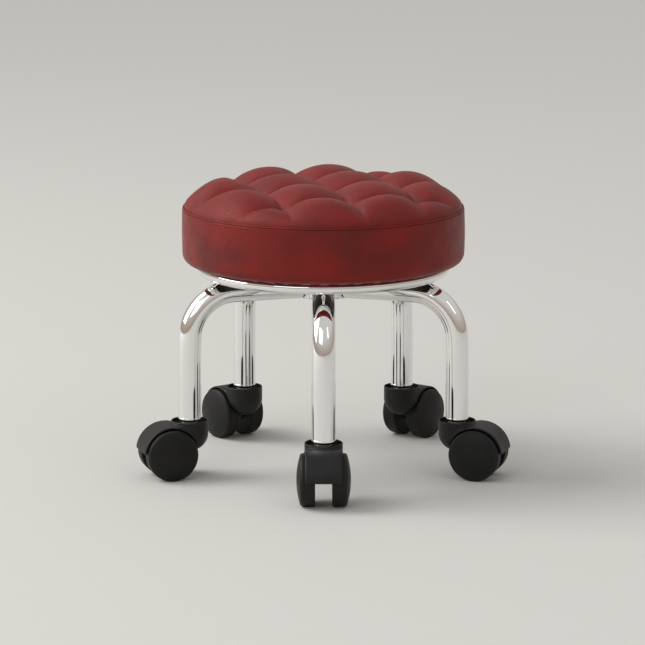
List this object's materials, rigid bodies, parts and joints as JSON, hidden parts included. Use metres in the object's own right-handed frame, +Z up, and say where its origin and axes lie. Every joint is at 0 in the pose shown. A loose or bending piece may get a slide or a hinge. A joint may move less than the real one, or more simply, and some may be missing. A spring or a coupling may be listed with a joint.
{
  "type": "rolling stool",
  "caption": "Low round stool with a tufted padded seat on a chrome ring and bent tube legs that end in hooded twin-wheel casters.",
  "frame": {"origin": "on the floor, at the centre of the bounding box; the seat axis is 13 mm behind it (+Y), because all casters trail outwards", "axes": "+Z up; -Y towards the front leg; X across"},
  "size_m": [0.373, 0.3547, 0.2926],
  "materials": {
    "red_vinyl": "satin upholstery vinyl with fine leather grain",
    "chrome": "polished chrome plate",
    "steel": "zinc-plated steel",
    "black_plastic": "matt black moulded nylon",
    "foam": "open-cell foam",
    "plywood": "raw plywood",
    "dust_cloth": "non-woven cloth"
  },
  "bodies": {
    "root": {"seat_cushion_top": "red_vinyl", "seat_side_band": "red_vinyl", "seat_welt": "red_vinyl", "seat_foam_pad": "foam", "seat_board": "plywood", "seat_dust_cover": "dust_cloth", "seat_bolt_1": "steel", "seat_bolt_2": "steel", "seat_bolt_3": "steel", "seat_bolt_4": "steel", "seat_t_nut_1": "steel", "seat_t_nut_2": "steel", "seat_t_nut_3": "steel", "seat_t_nut_4": "steel", "seat_ring": "chrome", "leg_hub": "chrome", "mounting_plate": "steel", "leg_1": "chrome", "ring_bracket_1": "chrome", "leg_insert_1": "chrome", "caster_stem_1": "steel", "leg_2": "chrome", "ring_bracket_2": "chrome", "leg_insert_2": "chrome", "caster_stem_2": "steel", "leg_3": "chrome", "ring_bracket_3": "chrome", "leg_insert_3": "chrome", "caster_stem_3": "steel", "leg_4": "chrome", "ring_bracket_4": "chrome", "leg_insert_4": "chrome", "caster_stem_4": "steel", "leg_5": "chrome", "ring_bracket_5": "chrome", "leg_insert_5": "chrome", "caster_stem_5": "steel"},
    "caster_1": {"caster_hood_1": "black_plastic", "caster_axle_1": "steel"},
    "caster_2": {"caster_hood_2": "black_plastic", "caster_axle_2": "steel"},
    "caster_3": {"caster_hood_3": "black_plastic", "caster_axle_3": "steel"},
    "caster_4": {"caster_hood_4": "black_plastic", "caster_axle_4": "steel"},
    "caster_5": {"caster_hood_5": "black_plastic", "caster_axle_5": "steel"},
    "wheel_1_left": {"wheel_1_left": "black_plastic"},
    "wheel_1_right": {"wheel_1_right": "black_plastic"},
    "wheel_2_left": {"wheel_2_left": "black_plastic"},
    "wheel_2_right": {"wheel_2_right": "black_plastic"},
    "wheel_3_left": {"wheel_3_left": "black_plastic"},
    "wheel_3_right": {"wheel_3_right": "black_plastic"},
    "wheel_4_left": {"wheel_4_left": "black_plastic"},
    "wheel_4_right": {"wheel_4_right": "black_plastic"},
    "wheel_5_left": {"wheel_5_left": "black_plastic"},
    "wheel_5_right": {"wheel_5_right": "black_plastic"}
  },
  "joints": [
    {"name": "caster_1_swivel", "type": "hinge", "parent": "root", "child": "caster_1", "pos_m": [0, -0.12654, 0.045], "axis": [0, 0, 1], "continuous": true},
    {"name": "caster_2_swivel", "type": "hinge", "parent": "root", "child": "caster_2", "pos_m": [0.13267, -0.03014, 0.045], "axis": [0, 0, 1], "continuous": true},
    {"name": "caster_3_swivel", "type": "hinge", "parent": "root", "child": "caster_3", "pos_m": [0.082, 0.12582, 0.045], "axis": [0, 0, 1], "continuous": true},
    {"name": "caster_4_swivel", "type": "hinge", "parent": "root", "child": "caster_4", "pos_m": [-0.082, 0.12582, 0.045], "axis": [0, 0, 1], "continuous": true},
    {"name": "caster_5_swivel", "type": "hinge", "parent": "root", "child": "caster_5", "pos_m": [-0.13267, -0.03014, 0.045], "axis": [0, 0, 1], "continuous": true},
    {"name": "wheel_1_left_spin", "type": "hinge", "parent": "caster_1", "child": "wheel_1_left", "pos_m": [0, -0.14894, 0.0254], "axis": [1, 0, 0], "continuous": true},
    {"name": "wheel_1_right_spin", "type": "hinge", "parent": "caster_1", "child": "wheel_1_right", "pos_m": [0, -0.14894, 0.0254], "axis": [1, 0, 0], "continuous": true},
    {"name": "wheel_2_left_spin", "type": "hinge", "parent": "caster_2", "child": "wheel_2_left", "pos_m": [0.15398, -0.03707, 0.0254], "axis": [0.309, 0.9511, 0], "continuous": true},
    {"name": "wheel_2_right_spin", "type": "hinge", "parent": "caster_2", "child": "wheel_2_right", "pos_m": [0.15398, -0.03707, 0.0254], "axis": [0.309, 0.9511, 0], "continuous": true},
    {"name": "wheel_3_left_spin", "type": "hinge", "parent": "caster_3", "child": "wheel_3_left", "pos_m": [0.09516, 0.14394, 0.0254], "axis": [-0.809, 0.5878, 0], "continuous": true},
    {"name": "wheel_3_right_spin", "type": "hinge", "parent": "caster_3", "child": "wheel_3_right", "pos_m": [0.09516, 0.14394, 0.0254], "axis": [-0.809, 0.5878, 0], "continuous": true},
    {"name": "wheel_4_left_spin", "type": "hinge", "parent": "caster_4", "child": "wheel_4_left", "pos_m": [-0.09516, 0.14394, 0.0254], "axis": [-0.809, -0.5878, 0], "continuous": true},
    {"name": "wheel_4_right_spin", "type": "hinge", "parent": "caster_4", "child": "wheel_4_right", "pos_m": [-0.09516, 0.14394, 0.0254], "axis": [-0.809, -0.5878, 0], "continuous": true},
    {"name": "wheel_5_left_spin", "type": "hinge", "parent": "caster_5", "child": "wheel_5_left", "pos_m": [-0.15398, -0.03707, 0.0254], "axis": [0.309, -0.9511, 0], "continuous": true},
    {"name": "wheel_5_right_spin", "type": "hinge", "parent": "caster_5", "child": "wheel_5_right", "pos_m": [-0.15398, -0.03707, 0.0254], "axis": [0.309, -0.9511, 0], "continuous": true}
  ]
}
